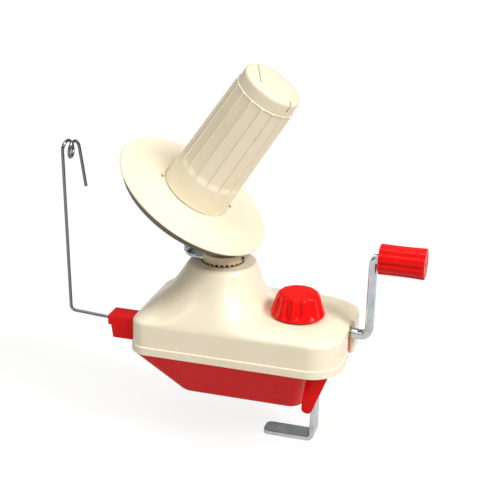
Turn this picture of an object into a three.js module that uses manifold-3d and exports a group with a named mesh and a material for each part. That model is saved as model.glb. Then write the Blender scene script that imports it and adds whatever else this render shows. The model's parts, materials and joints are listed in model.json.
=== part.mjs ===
// Hand-cranked yarn ball winder, in millimetres with +Z up.
// The origin is where the upright spindle's axis meets the flat underside of the tray, which
// rests on the table. +X points to the crank, -Y to the side with the wire guide's holder.

import * as THREE from 'three';
import { mergeVertices } from 'three/addons/utils/BufferGeometryUtils.js';
import Module from 'manifold-3d';

const wasm = await Module();
wasm.setup();

// ---- Driving dimensions ----

const gap = 0.3; // between touching pieces
const wall = 2.4; // moulded plastic wall
const thickWall = wall * 1.25; // flange and tube walls

const casing = { left: 59.4, right: 100.6, half: 48.1, leftCorner: 13, rightCorner: 24 };
const lip = { low: 35.4, high: 41.7, proud: 1 };
const crease = 60.4; // height where the side walls meet the deck
const crown = 6.8; // rise of the deck above the crease
const neck = { radius: 26, top: 100.7, opening: 16.3 };
const endStep = { out: 2.1, y: 8 }; // far half of the end wall stands further out
const footLevel = 0.55; // share of the casing's levels spent on the dome

const tray = { left: -24.5, right: 71, half: 29.5, topLeft: -58.4, topRight: 77.5, topHalf: 46.4 };
const trayTop = lip.low - gap;
const plateTop = trayTop + 3.3;

const crankHeight = 54.7;
const crankThrow = 62.2;
const crankBar = { wide: 8.6, thick: 5.8, journal: 3.2, stub: 4.1, armX: 115.2 };
const grip = { start: 119.6, end: 153.6, small: 11.1, large: 11.6, lobes: 8 };

const tilt = THREE.MathUtils.degToRad(34.2); // bobbin axis, leaning from upright
const heading = THREE.MathUtils.degToRad(-6.1); // turntable's angle at rest
const apex = 185.9; // height where the bobbin's axis crosses the spindle's

const postRadius = 2.5;
const sleeveRadius = 4.4;
const drum = { radius: 15.5, low: neck.top + gap, high: neck.top + 7.3 };
const bracketThick = 2.4;
const bracketFloor = drum.low + 1;

const bobbin = { base: -40, baseRadius: 26.4, ribTop: 55, ribRadius: 24.2, ribs: 16 };
const cap = { radius: 22.9, shoulder: 64.2, top: 67.2 }; // closed end of the bobbin's tube
const flange = { radius: 63.3, rim: -43.4, skirtRadius: 56.5, skirtLow: -52.3 };
const axleRadius = 3;

const knob = { x: 61.3, y: -6.5, base: 68, radius: 20.6, topRadius: 15.6, height: 17.8 };
const studRadius = 2.9;
const hook = { x: 76.3, width: 16, thick: 3.6, footTop: -35.3, footEnd: 37, legTop: 23.5 };

const guide = { y: -22.7, axis: 50.5, wire: 1.25, loop: 6.2 };
const holder = { left: -82.9, right: -60.9, low: 37.6, high: 55.9, half: 8.2 };

const driveTeeth = 35;
const pinionTeeth = 10;
const crownTeeth = 40;
const sunTeeth = 8;
const toothTip = 0.75; // tip and root of a tooth, in modules from the pitch cone
const toothRoot = -1.15;
const toothPlay = 0.3; // radians times teeth taken off each side of a tooth

// ---- Turning three.js geometry into solids and back ----

function signedVolume(position, index) {
  const [a, b, c] = [0, 1, 2].map(() => new THREE.Vector3());
  let sum = 0;
  for (let i = 0; i < index.count; i += 3) {
    [a, b, c].forEach((point, k) => point.fromBufferAttribute(position, index.getX(i + k)));
    sum += a.dot(b.clone().cross(c)) / 6;
  }
  return sum;
}

function solid(geometry) {
  geometry.deleteAttribute('normal');
  geometry.deleteAttribute('uv');
  const merged = mergeVertices(geometry, 1e-4);
  const triangles = Uint32Array.from(merged.index.array);
  if (signedVolume(merged.attributes.position, merged.index) < 0) triangles.reverse();
  return new wasm.Manifold(new wasm.Mesh({
    numProp: 3,
    vertProperties: Float32Array.from(merged.attributes.position.array),
    triVerts: triangles,
  }));
}

function geometryOf(shape) {
  const mesh = shape.getMesh();
  const geometry = new THREE.BufferGeometry();
  geometry.setAttribute('position', new THREE.BufferAttribute(mesh.vertProperties, 3));
  geometry.setIndex(new THREE.BufferAttribute(mesh.triVerts, 1));
  geometry.computeVertexNormals();
  return geometry;
}

const union = (shapes) => shapes.reduce((sum, shape) => sum.add(shape));
const cut = (body, tools) => tools.reduce((rest, tool) => rest.subtract(tool), body);

// ---- Basic shapes ----

function boxGeometry([x0, x1], [y0, y1], [z0, z1]) {
  const box = new THREE.BoxGeometry(x1 - x0, y1 - y0, z1 - z0);
  return box.translate((x0 + x1) / 2, (y0 + y1) / 2, (z0 + z1) / 2);
}

const box = (x, y, z) => solid(boxGeometry(x, y, z));

// Upright round bar from z0 to z1; fewer segments make hexagons
function rod(radius, z0, z1, { x = 0, y = 0, segments = 20, top = radius } = {}) {
  const bar = new THREE.CylinderGeometry(top, radius, z1 - z0, segments);
  return solid(bar.rotateX(Math.PI / 2).translate(x, y, (z0 + z1) / 2));
}

// Round bar along X, on the line through (y, z)
function rodX(radius, x0, x1, { y = 0, z = 0, segments = 20 } = {}) {
  const bar = new THREE.CylinderGeometry(radius, radius, x1 - x0, segments);
  return solid(bar.rotateZ(Math.PI / 2).translate((x0 + x1) / 2, y, z));
}

// Ring or cup turned about Z from a closed outline of [radius, z] points
function turned(outline, segments = 40) {
  const points = [...outline, outline[0]].map(([r, z]) => new THREE.Vector2(r, z));
  return solid(new THREE.LatheGeometry(points, segments).rotateX(Math.PI / 2));
}

const ring = (inner, outer, z0, z1, segments = 20) => {
  return turned([[inner, z0], [outer, z0], [outer, z1], [inner, z1]], segments);
};

// Flat plate of an [x, z] outline, spread along Y
function plateXZ(outline, [y0, y1]) {
  const shape = new THREE.Shape(outline.map(([x, z]) => new THREE.Vector2(x, z)));
  const plate = new THREE.ExtrudeGeometry(shape, { depth: y1 - y0, bevelEnabled: false });
  return solid(plate.rotateX(Math.PI / 2).translate(0, y1, 0));
}

// Closed solid through rings of equally many points, each end closed to a tip
function loft(rings, startTip = centre(rings[0]), endTip = centre(rings.at(-1))) {
  const points = [];
  const count = rings[0].length;
  for (let k = 0; k < count; k += 1) {
    const next = (k + 1) % count;
    points.push(startTip, rings[0][next], rings[0][k]);
    points.push(endTip, rings.at(-1)[k], rings.at(-1)[next]);
    for (let j = 0; j + 1 < rings.length; j += 1) {
      points.push(rings[j][k], rings[j][next], rings[j + 1][next]);
      points.push(rings[j][k], rings[j + 1][next], rings[j + 1][k]);
    }
  }
  return solid(new THREE.BufferGeometry().setFromPoints(points));
}

function centre(points) {
  const sum = points.reduce((total, point) => total.add(point), new THREE.Vector3());
  return sum.divideScalar(points.length);
}

// Bar of constant section along a path; the section's first axis starts along `side`
function sweep(path, section, side) {
  const across = side.clone();
  const rings = path.map((point, i) => {
    const before = path[Math.max(i - 1, 0)];
    const after = path[Math.min(i + 1, path.length - 1)];
    const forward = after.clone().sub(before).normalize();
    across.addScaledVector(forward, -across.dot(forward)).normalize();
    const up = forward.clone().cross(across);
    return section.map(([a, b]) => {
      return point.clone().addScaledVector(across, a).addScaledVector(up, b);
    });
  });
  return loft(rings);
}

// Section outlines for swept bars
const roundSection = (radius, count = 8) => {
  return Array.from({ length: count }, (_, k) => {
    const angle = (2 * Math.PI * k) / count;
    return [radius * Math.cos(angle), radius * Math.sin(angle)];
  });
};

function flatSection(wide, thick, c) {
  const a = wide / 2;
  const b = thick / 2;
  return [
    [a, c - b], [a, b - c], [a - c, b], [c - a, b],
    [-a, b - c], [-a, c - b], [c - a, -b], [a - c, -b],
  ];
}

// Path through corner points with each corner rounded by its own radius
function roundedPath(corners, steps = 5) {
  const path = [corners[0].at];
  for (let i = 1; i + 1 < corners.length; i += 1) {
    const { at, radius } = corners[i];
    const back = corners[i - 1].at.clone().sub(at).normalize();
    const ahead = corners[i + 1].at.clone().sub(at).normalize();
    const half = back.angleTo(ahead) / 2;
    const middle = back.clone().add(ahead).normalize();
    const hub = at.clone().addScaledVector(middle, radius / Math.sin(half));
    const from = at.clone().addScaledVector(back, radius / Math.tan(half)).sub(hub);
    const axis = from.clone().cross(at.clone().sub(hub)).normalize();
    for (let k = 0; k <= steps; k += 1) {
      const turn = ((Math.PI - 2 * half) * k) / steps;
      path.push(from.clone().applyAxisAngle(axis, turn).add(hub));
    }
  }
  path.push(corners.at(-1).at);
  return path;
}

const corner = (x, y, z, radius = 0) => ({ at: new THREE.Vector3(x, y, z), radius });

// Ring of points around a rounded rectangle
function roundedRing([x0, x1], [y0, y1], radius, z, steps = 4) {
  const hubs = [[x1, y1, 0], [x0, y1, 1], [x0, y0, 2], [x1, y0, 3]];
  return hubs.flatMap(([x, y, quarter]) => {
    const hubX = x - Math.sign(x - (x0 + x1) / 2) * radius;
    const hubY = y - Math.sign(y - (y0 + y1) / 2) * radius;
    return Array.from({ length: steps + 1 }, (_, k) => {
      const angle = (Math.PI / 2) * (quarter + k / steps);
      const offset = new THREE.Vector3(Math.cos(angle), Math.sin(angle), 0);
      return new THREE.Vector3(hubX, hubY, z).addScaledVector(offset, radius);
    });
  });
}

// ---- Gears ----

const involute = (angle) => Math.tan(angle) - angle;

// Straight bevel gear with its apex at the origin, opening towards -Z, one tooth on +X.
// `far` and `near` are the distances of its two ends from the apex.
function bevelGear({ teeth, cone, far, near, web = 0 }) {
  const module = (2 * far * Math.sin(cone)) / teeth;
  const pitch = far * Math.tan(cone); // radius of the matching flat gear
  const base = pitch * Math.cos(THREE.MathUtils.degToRad(20));
  const middle = (Math.PI * Math.cos(cone)) / (2 * teeth) + involute(Math.acos(base / pitch));
  const flank = (share) => {
    const height = share * module;
    const pressure = Math.acos(Math.min(base / (pitch + height), 1));
    return [height, (middle - involute(pressure)) / Math.cos(cone) - toothPlay / teeth];
  };
  const place = (distance, height, turn) => {
    const polar = cone + height / far;
    const radius = distance * Math.sin(polar);
    const z = -distance * Math.cos(polar);
    return new THREE.Vector3(radius * Math.cos(turn), radius * Math.sin(turn), z);
  };
  const shares = teeth > 20 ? [toothRoot, toothTip] : [toothRoot, 0, toothTip];
  const side = shares.map(flank);
  const outline = Array.from({ length: teeth }, (_, k) => {
    const turn = (2 * Math.PI * k) / teeth;
    return [
      ...side.map(([height, half]) => [height, turn - half]),
      ...side.toReversed().map(([height, half]) => [height, turn + half]),
    ];
  }).flat();
  const section = (distance) => outline.map(([height, turn]) => place(distance, height, turn));
  const rootZ = (distance) => place(distance, toothRoot * module, 0).z;
  const farTip = new THREE.Vector3(0, 0, rootZ(far) - web);
  const nearTip = new THREE.Vector3(0, 0, rootZ(near));
  return loft([section(far), section(near)], farTip, nearTip);
}

const turnedOver = (shape) => solid(geometryOf(shape).rotateX(Math.PI));
const facingX = (shape) => solid(geometryOf(shape).rotateY(-Math.PI / 2));

// ---- Scene graph ----

const material = (color, roughness, metalness) => {
  return new THREE.MeshStandardMaterial({ color, roughness, metalness });
};

const finishes = {
  cream: material(0xf4ead0, 0.35, 0),
  red: material(0xc81e1c, 0.3, 0),
  beige: material(0xa08468, 0.5, 0),
  nylon: material(0xe6e2d6, 0.5, 0),
  zinc: material(0xb9c4cc, 0.35, 0.9),
  steel: material(0x9aa0a6, 0.3, 1),
  chrome: material(0xd8dcde, 0.12, 1),
  brass: material(0xb8964a, 0.3, 1),
};

const winder = new THREE.Group();
const turntable = new THREE.Group();
const tilted = new THREE.Group();
const crankFrame = new THREE.Group();
const sunFrame = new THREE.Group();

turntable.rotation.z = heading;
tilted.position.z = apex;
tilted.rotation.y = tilt;
turntable.add(tilted);
crankFrame.position.z = crankHeight;
sunFrame.position.z = apex;
sunFrame.rotation.z = heading;
winder.add(turntable, crankFrame, sunFrame);

function add(name, finish, shape, parent = winder) {
  const mesh = new THREE.Mesh(geometryOf(shape), finishes[finish]);
  mesh.name = name;
  parent.add(mesh);
}

// ---- Casing ----

// Distance from the spindle's axis to the casing's outline, grown by `grow`
function planRadius(angle, grow, out) {
  const c = Math.abs(Math.cos(angle));
  const s = Math.abs(Math.sin(angle));
  const right = Math.cos(angle) > 0;
  const reachX = (right ? casing.right + out : casing.left) + grow;
  const reachY = casing.half + grow;
  const radius = (right ? casing.rightCorner : casing.leftCorner) + grow;
  const flat = Math.min(reachX / Math.max(c, 1e-9), reachY / Math.max(s, 1e-9));
  const hubX = reachX - radius;
  const hubY = reachY - radius;
  if (c * flat <= hubX || s * flat <= hubY) return flat;
  const along = c * hubX + s * hubY;
  return along + Math.sqrt(along * along - hubX * hubX - hubY * hubY + radius * radius);
}

// Directions in which the casing is drawn, closer together at its corners
const directions = (() => {
  const quarter = (reachX, radius) => {
    const start = Math.atan2(casing.half - radius, reachX);
    const end = Math.atan2(casing.half, reachX - radius);
    const spread = (from, to, steps) => {
      return Array.from({ length: steps }, (_, k) => from + ((to - from) * k) / steps);
    };
    return [
      ...spread(0, start, 2), ...spread(start, end, 4),
      ...spread(end, Math.PI / 2, Math.ceil((Math.PI / 2 - end) / 0.28)),
    ];
  };
  const right = quarter(casing.right, casing.rightCorner);
  const left = quarter(casing.left, casing.leftCorner);
  const mirror = (list) => list.map((angle) => Math.PI - angle);
  const upper = [...right, Math.PI / 2, ...mirror(left).reverse()].slice(0, -1);
  return [...upper, Math.PI, ...upper.slice(1).reverse().map((angle) => -angle)];
})();

// One level of the casing: its outline, at `height`
const outlineRing = (height, grow, out) => directions.map((angle) => {
  const radius = planRadius(angle, grow, out);
  return new THREE.Vector3(radius * Math.cos(angle), radius * Math.sin(angle), height);
});

// One level of the deck and dome: the neck is level 0, the dome's foot `footLevel`, the crease 1
function domeRing(level, grow, out) {
  const start = neck.radius + grow;
  return directions.map((angle) => {
    const span = planRadius(angle, grow, out) - start;
    const reach = Math.min(span + 9, 36 - 20.5 * Math.max(Math.cos(angle), 0));
    const foot = Math.min(reach, 0.7 * span);
    const distance = level < footLevel
      ? (foot * level) / footLevel
      : foot + ((span - foot) * (level - footLevel)) / (1 - footLevel);
    const fall = (at) => Math.max(1 - at / reach, 0) ** 2;
    const end = fall(span);
    const dome = (fall(distance) - end) / (1 - end);
    const deck = crown * (1 - (distance / span) ** 5);
    const height = crease + grow + deck + (neck.top - crease - crown) * dome;
    const radius = start + distance;
    return new THREE.Vector3(radius * Math.cos(angle), radius * Math.sin(angle), height);
  });
}

function casingSolid(grow, low, out = 0) {
  const levels = [1, 0.95, 0.85, 0.7, footLevel, 0.42, 0.31, 0.2, 0.1];
  const top = neck.top + grow;
  const neckRing = (inset, drop) => domeRing(0, grow, out).map((point) => {
    const shrink = (neck.radius + grow - inset) / (neck.radius + grow);
    return new THREE.Vector3(point.x * shrink, point.y * shrink, top - drop);
  });
  return loft([
    outlineRing(low, grow, out),
    ...levels.map((level) => domeRing(level, grow, out)),
    neckRing(0.5, 1.5),
    neckRing(1.9, 0.55),
    neckRing(4.5, 0),
  ]);
}

const screwSpots = [[-15, 22], [-15, -22], [52, 22], [52, -22]];
const screwRadius = 1.6;
const screwTop = 22;

function upperHousing() {
  const lipBand = loft([outlineRing(lip.low, lip.proud, 0), outlineRing(lip.high, lip.proud, 0)]);
  const far = [endStep.y, casing.half + 10];
  const step = casingSolid(0, lip.low, endStep.out).intersect(box([80, 120], far, [0, 120]));
  const shell = cut(union([casingSolid(0, lip.low), lipBand, step]), [
    casingSolid(-wall, lip.low - 1),
    rod(neck.opening, 90, 110, { segments: 48 }),
  ]);
  const posts = screwSpots.map(([x, y]) => {
    const column = rod(4, 6.3, 110, { x, y, segments: 16 });
    return column.intersect(casingSolid(-wall / 2, 0));
  });
  const holderSlot = box(
    [-70, -50], [guide.y - 5 - gap, guide.y + 5 + gap], [44 - gap, 54 + gap],
  );
  return cut(union([shell, ...posts]), [
    ...screwSpots.map(([x, y]) => rod(screwRadius + gap, 0, screwTop + 2, { x, y, segments: 12 })),
    rodX(5.3, 90, 110, { z: crankHeight }),
    box([90, 110], [-5.3, 5.3], [30, crankHeight]),
    rod(studRadius + 0.6, 55, 75, { x: knob.x, y: knob.y }),
    rod(8, knob.base - 1.3 - gap, 75, { x: knob.x, y: knob.y }),
    holderSlot,
  ]);
}

function lowerTray() {
  const level = (share, inset, z, radius = 5) => {
    const mix = (a, b) => THREE.MathUtils.lerp(a, b, share);
    const half = mix(tray.half, tray.topHalf) - inset;
    const left = mix(tray.left, tray.topLeft) + inset;
    return roundedRing([left, mix(tray.right, tray.topRight) - inset], [-half, half], radius, z);
  };
  const outer = loft([
    level(0, 1.6, 0, 9), level(0.045, 0, 1.6, 9), level(1, 0, trayTop, 8),
    level(1, 2.2, trayTop + 0.1, 10), level(1, 2.2, plateTop - 1, 10),
  ]);
  const hollow = loft([
    level(0.08, wall, wall + 0.2, 7), level(0.95, wall, trayTop - 1, 6),
    level(1, 2 * wall, plateTop + 1, 5),
  ]);
  const inside = -wall - gap;
  const plate = loft([outlineRing(plateTop - wall, inside, 0), outlineRing(plateTop, inside, 0)]);
  const tongueEnd = Array.from({ length: 7 }, (_, k) => {
    const angle = THREE.MathUtils.degToRad(-20 - 24 * k);
    return [72.6 + 4.4 * Math.cos(angle), -8.4 + 4.4 * Math.sin(angle)];
  });
  const tongue = [[93.6, trayTop - 1], ...tongueEnd, [68.3, 2], [76, trayTop - 1]];
  const tongues = [1, -1].map((side) => {
    return plateXZ(tongue, [side * 9.4, side * 12.4].sort((a, b) => a - b));
  });
  const shell = cut(union([outer, plate, ...tongues]), [hollow]);
  const boss = rod(7, 1, 14, { segments: 24 });
  const screwPads = screwSpots.map(([x, y]) => rod(5, 0.5, 6, { x, y, segments: 20 }));
  const bearingRib = plateXZ([[34, 1], [40, 1], [40, 58], [34, 58]], [-9, 9]);
  const tab = box([96.5, 100.2], [-4.9, 4.9], [plateTop - wall, crankHeight - 5.4]);
  return cut(union([shell, boss, ...screwPads, bearingRib, tab]), [
    rod(postRadius + gap, 2.8, 20),
    rodX(5.3, 30, 44, { z: crankHeight }),
    box([30, 44], [-5.3, 5.3], [crankHeight, 62]),
    box([hook.x - 2.2, hook.x + 2.2], [-8.6, 8.6], [-30, 28]),
    box([60, hook.x + 2.2], [-8.6, 8.6], [15, 60]),
    ...screwSpots.map(([x, y]) => rod(3.4, -1, 2.8, { x, y, segments: 16 })),
    ...screwSpots.map(([x, y]) => rod(screwRadius + gap, 0, 10, { x, y, segments: 12 })),
  ]);
}

function caseScrew([x, y]) {
  return union([
    rod(3.1, gap, 2.5, { x, y, segments: 16 }),
    rod(screwRadius, 2, screwTop, { x, y, segments: 12 }),
  ]);
}

add('upper_housing', 'cream', upperHousing());
add('lower_tray', 'red', lowerTray());
screwSpots.forEach((spot, k) => add(`case_screw_${k + 1}`, 'zinc', caseScrew(spot)));

// ---- Upright spindle: fixed post, turning sleeve with its pinion, and their bearings ----

const shaftAngle = Math.PI / 2;
const pinionCone = Math.atan2(Math.sin(shaftAngle), driveTeeth / pinionTeeth);
const driveRadius = 28;
const driveFar = driveRadius / Math.cos(pinionCone);
const driveNear = driveFar - 7.5;
const sleeveLow = 17.6;
const sleeveShoulder = bracketFloor - gap;

function spindleSleeve() {
  const pinion = turnedOver(
    bevelGear({ teeth: pinionTeeth, cone: pinionCone, far: driveFar, near: driveNear }),
  ).translate([0, 0, crankHeight]);
  const tube = rod(sleeveRadius, sleeveLow, sleeveShoulder);
  const spigot = rod(3.9, sleeveShoulder - 1, drum.high);
  const body = union([pinion, tube, spigot]);
  return cut(body, [rod(postRadius + gap, 0, 120)]).rotate([0, 0, 180 / pinionTeeth]);
}

const sunCone = Math.atan2(Math.sin(tilt), crownTeeth / sunTeeth + Math.cos(tilt));
const crownCone = tilt - sunCone;
const crownFar = 67;
const crownNear = 61.5;
const sunTop = apex - crownNear * Math.cos(sunCone);

const sunGear = cut(
  bevelGear({ teeth: sunTeeth, cone: sunCone, far: crownFar, near: crownNear }),
  [rod(postRadius + gap, -100, 0)],
).rotate([0, 0, 180 / sunTeeth]);

add('centre_post', 'steel', rod(postRadius, 2.8 + gap, sunTop + 3));
add('foot_bush', 'brass', ring(postRadius + gap, 7, 14 + gap, sleeveLow - gap));
add('spindle_sleeve', 'nylon', spindleSleeve());
add('neck_bush', 'nylon', turned([
  [sleeveRadius + gap, 93.5], [18.6, 93.5], [18.6, neck.top - wall - gap],
  [neck.opening - gap, neck.top - wall - gap], [neck.opening - gap, neck.top - gap],
  [sleeveRadius + gap, neck.top - gap],
]));
add('sun_gear', 'nylon', sunGear, sunFrame);
add('post_nut', 'zinc', cut(
  rod(4, sunTop + 0.9, sunTop + 2.8, { segments: 6 }),
  [rod(postRadius + gap, sunTop, sunTop + 4)],
));

// ---- Turntable: drum, bracket and the bobbin's axle ----

const bracketWidth = 16;
const bracketRise = -28.5;
const lug = -63.2; // along the bobbin's axis
const drumScrewY = 9;

function turntableDrum() {
  const shell = turned([
    [4.2, drum.high - 2.4], [drum.radius - 2.2, drum.high - 2.4], [drum.radius - 2.2, drum.low],
    [drum.radius, drum.low], [drum.radius, drum.high - 0.8], [drum.radius - 0.8, drum.high],
    [4.2, drum.high],
  ], 40);
  const notchCount = 24;
  const notches = Array.from({ length: notchCount }, (_, k) => {
    const notch = boxGeometry([13, 17], [-1.2, 1.2], [drum.low - 1, drum.low + 1.25]);
    return solid(notch.rotateZ((2 * Math.PI * (k + 0.5)) / notchCount));
  });
  const window = box(
    [-20, -10], [-bracketWidth / 2 - gap, bracketWidth / 2 + gap],
    [drum.low - 1, bracketFloor + bracketThick + gap],
  );
  return cut(shell, [window, ...notches, ...[1, -1].map((side) => {
    return rod(1.4 + gap, 100, 120, { y: side * drumScrewY, segments: 12 });
  })]);
}

function bobbinBracket() {
  const floor = bracketFloor + bracketThick / 2;
  const along = new THREE.Vector3(-Math.cos(tilt), 0, Math.sin(tilt));
  const lugCentre = new THREE.Vector3(0, 0, apex)
    .add(new THREE.Vector3(lug * Math.sin(tilt), 0, lug * Math.cos(tilt)));
  const bend = lugCentre.clone()
    .addScaledVector(along, (bracketRise - lugCentre.x) / along.x);
  const end = lugCentre.clone().addScaledVector(along, 4);
  const path = roundedPath([
    corner(-8, 0, floor), corner(bracketRise, 0, floor, 5.5),
    { at: bend, radius: 4 }, { at: end },
  ]);
  const section = flatSection(bracketWidth, bracketThick, 0.4);
  const strap = sweep(path, section, new THREE.Vector3(0, 1, 0));
  const base = rod(drum.radius - 2.2 - gap, bracketFloor, bracketFloor + bracketThick);
  const round = new THREE.CylinderGeometry(8, 8, bracketThick, 24).rotateX(Math.PI / 2);
  const place = (geometry) => geometry.rotateY(tilt).translate(lugCentre.x, 0, lugCentre.z);
  const bore = new THREE.CylinderGeometry(axleRadius + gap, axleRadius + gap, 6, 20);
  return cut(union([strap, base, solid(place(round))]), [
    solid(place(bore.rotateX(Math.PI / 2))),
    rod(3.9 + gap, 90, 120),
    ...[1, -1].map((side) => rod(1.4 + gap, 100, 120, { y: side * drumScrewY, segments: 12 })),
  ]);
}

const drumScrew = (y) => union([
  rod(2.6, drum.high + gap, drum.high + 1.8, { y, segments: 16, top: 2 }),
  rod(1.4, bracketFloor - 0.4, drum.high + 1, { y, segments: 12 }),
]);

const bobbinAxle = union([
  rod(axleRadius, lug - 6, -31),
  rod(4.6, lug + bracketThick / 2 + gap, lug + bracketThick / 2 + 0.9),
]);

add('turntable_drum', 'beige', turntableDrum(), turntable);
add('bobbin_bracket', 'zinc', bobbinBracket(), turntable);
add('drum_screw_1', 'zinc', drumScrew(drumScrewY), turntable);
add('drum_screw_2', 'zinc', drumScrew(-drumScrewY), turntable);
add('drum_pin', 'chrome', rodX(1.6, drum.radius + gap, drum.radius + 1.8, {
  z: drum.high - 3.7, segments: 14,
}), turntable);
add('bobbin_axle', 'steel', bobbinAxle, tilted);
add('axle_nut', 'zinc', cut(
  rod(5, lug - 4.6, lug - bracketThick / 2 - gap, { segments: 6 }),
  [rod(axleRadius + gap, -80, -50)],
), tilted);
add('axle_clip', 'steel', ring(axleRadius + gap, 5.2, -33, -32), tilted);

// ---- Bobbin: hub, crown gear, flange and ribbed tube ----

const hubRadius = 5.4;
const hubLow = lug + 2.4;
const flangeTop = bobbin.base - gap;
const saucerThick = 1.5;
const slitTurn = -1.018; // across the chord the yarn slit follows
const lockTurn = 0.58;
const lockRadius = 29.2; // lock holes, from the bobbin's axis
const dishTop = flangeTop - saucerThick - gap;
const dishUnder = dishTop - saucerThick;
const boltCircle = 9;
const boltSpots = [0, 1, 2].map((k) => {
  const angle = (2 * Math.PI * k) / 3 + 0.3;
  return { x: boltCircle * Math.cos(angle), y: boltCircle * Math.sin(angle) };
});
const boltHoles = boltSpots.map((spot) => rod(1.4 + gap, -80, 0, { ...spot, segments: 12 }));

const ribRadius = (s) => {
  return THREE.MathUtils.mapLinear(
    s, bobbin.base, bobbin.ribTop, bobbin.baseRadius, bobbin.ribRadius,
  );
};
const seatRadius = bobbin.baseRadius + 0.5; // where the tube stands on the flange

function bobbinTube() {
  const inner = cap.radius - thickWall;
  const floor = bobbin.base + thickWall;
  const walls = turned([
    [hubRadius + gap, bobbin.base], [seatRadius, bobbin.base], [ribRadius(-36), -36],
    [bobbin.ribRadius, bobbin.ribTop], [cap.radius, bobbin.ribTop + 0.6],
    [cap.radius, cap.shoulder], [inner, cap.shoulder], [ribRadius(-35) - thickWall, floor],
    [hubRadius + gap, floor],
  ], 48);
  const end = union([
    rod(cap.radius, cap.shoulder - thickWall, cap.shoulder, { segments: 48 }),
    rod(cap.radius, cap.shoulder, cap.top - 1, { segments: 48, top: cap.radius - 2.2 }),
    rod(cap.radius - 2.2, cap.top - 1, cap.top, { segments: 48, top: 8 }),
  ]);
  const taper = Math.atan2(bobbin.baseRadius - bobbin.ribRadius, bobbin.ribTop - bobbin.base);
  const panelLow = -17;
  const panelHigh = bobbin.ribTop - 0.7;
  const panelDepth = 1.3;
  const panels = Array.from({ length: bobbin.ribs }, (_, k) => {
    const length = (panelHigh - panelLow) / Math.cos(taper);
    const middle = (panelHigh + panelLow) / 2;
    const panel = new THREE.BoxGeometry(4, 8.2, length).rotateY(-taper);
    const turn = ((k + 0.5) * 2 * Math.PI) / bobbin.ribs + 0.35;
    return solid(panel.translate(ribRadius(middle) + 2 - panelDepth, 0, middle).rotateZ(turn));
  });
  // Two yarn slits cut into the rim; the longer one runs on across the closed end
  const rim = new THREE.Vector2(-20.7, 10.1);
  const slits = [[0, 29], [Math.PI, 5]].map(([halfTurn, length]) => {
    const slit = boxGeometry([-4, length], [-0.6, 0.6], [cap.shoulder - 5.5, cap.top + 2]);
    return solid(slit.rotateZ(slitTurn).translate(rim.x, rim.y, 0).rotateZ(halfTurn));
  });
  return cut(union([walls, end]), [...panels, ...slits, ...boltHoles]);
}

function bobbinFlange() {
  const { radius, rim } = flange;
  const under = flangeTop - saucerThick;
  const shell = turned([
    [hubRadius + gap, under], [33, under], [radius - 1.8, rim - saucerThick],
    [radius, rim - 1.4], [radius, rim - 0.6], [radius - 0.6, rim],
    [33, flangeTop], [hubRadius + gap, flangeTop],
  ], 48);
  const locks = [0, Math.PI].map((halfTurn) => {
    const hole = new THREE.CylinderGeometry(2.6, 2.6, 12, 3).rotateX(Math.PI / 2);
    return solid(hole.rotateZ(Math.PI / 2).translate(lockRadius, 0, flangeTop).rotateZ(lockTurn + halfTurn));
  });
  return cut(shell, [...boltHoles, ...locks]);
}

// Dark ring with a tapered skirt, under the flange
function bobbinDish() {
  const { radius, rim, skirtRadius, skirtLow } = flange;
  return cut(turned([
    [hubRadius + gap, dishUnder], [33, dishUnder], [radius - 4.1, rim - 3.2],
    [skirtRadius - 2.2, skirtLow], [skirtRadius, skirtLow],
    [radius - 1.4, rim - saucerThick - 0.35], [33, dishTop], [hubRadius + gap, dishTop],
  ], 48), boltHoles);
}

function bobbinGear() {
  const teeth = bevelGear({ teeth: crownTeeth, cone: crownCone, far: crownFar, near: crownNear });
  const hub = rod(13, -crownFar * Math.cos(crownCone), dishUnder - gap);
  return cut(union([teeth, hub]), [rod(hubRadius + gap, -80, 0), ...boltHoles]);
}

const boltHead = -crownFar * Math.cos(crownCone) - 1.1;
const bobbinBolt = (spot) => union([
  rod(2.5, boltHead - 1.2, boltHead, { ...spot, segments: 14 }),
  rod(1.4, boltHead - 0.5, bobbin.base + 2.6, { ...spot, segments: 12 }),
]);

add('bobbin_hub', 'brass', ring(axleRadius + gap, hubRadius, hubLow, -33.3), tilted);
add('bobbin_gear', 'nylon', bobbinGear(), tilted);
add('bobbin_dish', 'beige', bobbinDish(), tilted);
add('bobbin_flange', 'cream', bobbinFlange(), tilted);
add('bobbin_tube', 'cream', bobbinTube(), tilted);
boltSpots.forEach((spot, k) => add(`bobbin_screw_${k + 1}`, 'zinc', bobbinBolt(spot), tilted));

// ---- Crank, its bearings and the drive gear ----

const wallInside = casing.right - wall;
const shaftStart = 8.6;
const gearBack = 14;

function crankArm() {
  const knee = crankBar.armX;
  const path = roundedPath([
    corner(102.2, 0, 0), corner(knee, 0, 0, 6), corner(knee, 0, crankThrow, 3.8),
    corner(grip.start - 0.4, 0, crankThrow),
  ], 6);
  const bar = sweep(
    path, flatSection(crankBar.wide, crankBar.thick, 1.6), new THREE.Vector3(0, 1, 0),
  );
  return union([
    bar,
    rodX(crankBar.journal, shaftStart, 103),
    rodX(crankBar.stub, 102.2, 108),
    rodX(crankBar.journal, knee, grip.end - 2.6, { z: crankThrow }),
  ]);
}

function crankGrip() {
  const length = grip.end - grip.start;
  const stations = [0, 0.05, 0.85, 0.97, 1];
  const radii = [grip.small - 1, grip.small, grip.large - 0.1, grip.large, grip.large - 1];
  const count = grip.lobes * 6;
  const rings = stations.map((share, j) => Array.from({ length: count }, (_, k) => {
    const angle = (2 * Math.PI * k) / count;
    const radius = radii[j] - 0.45 * (1 - Math.cos(grip.lobes * angle));
    const x = grip.start + share * length;
    return new THREE.Vector3(x, radius * Math.sin(angle), radius * Math.cos(angle));
  }));
  const bore = rodX(crankBar.journal + gap, grip.start - 1, grip.end - 1.6);
  return cut(loft(rings), [bore]).translate([0, 0, crankThrow]);
}

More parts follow.
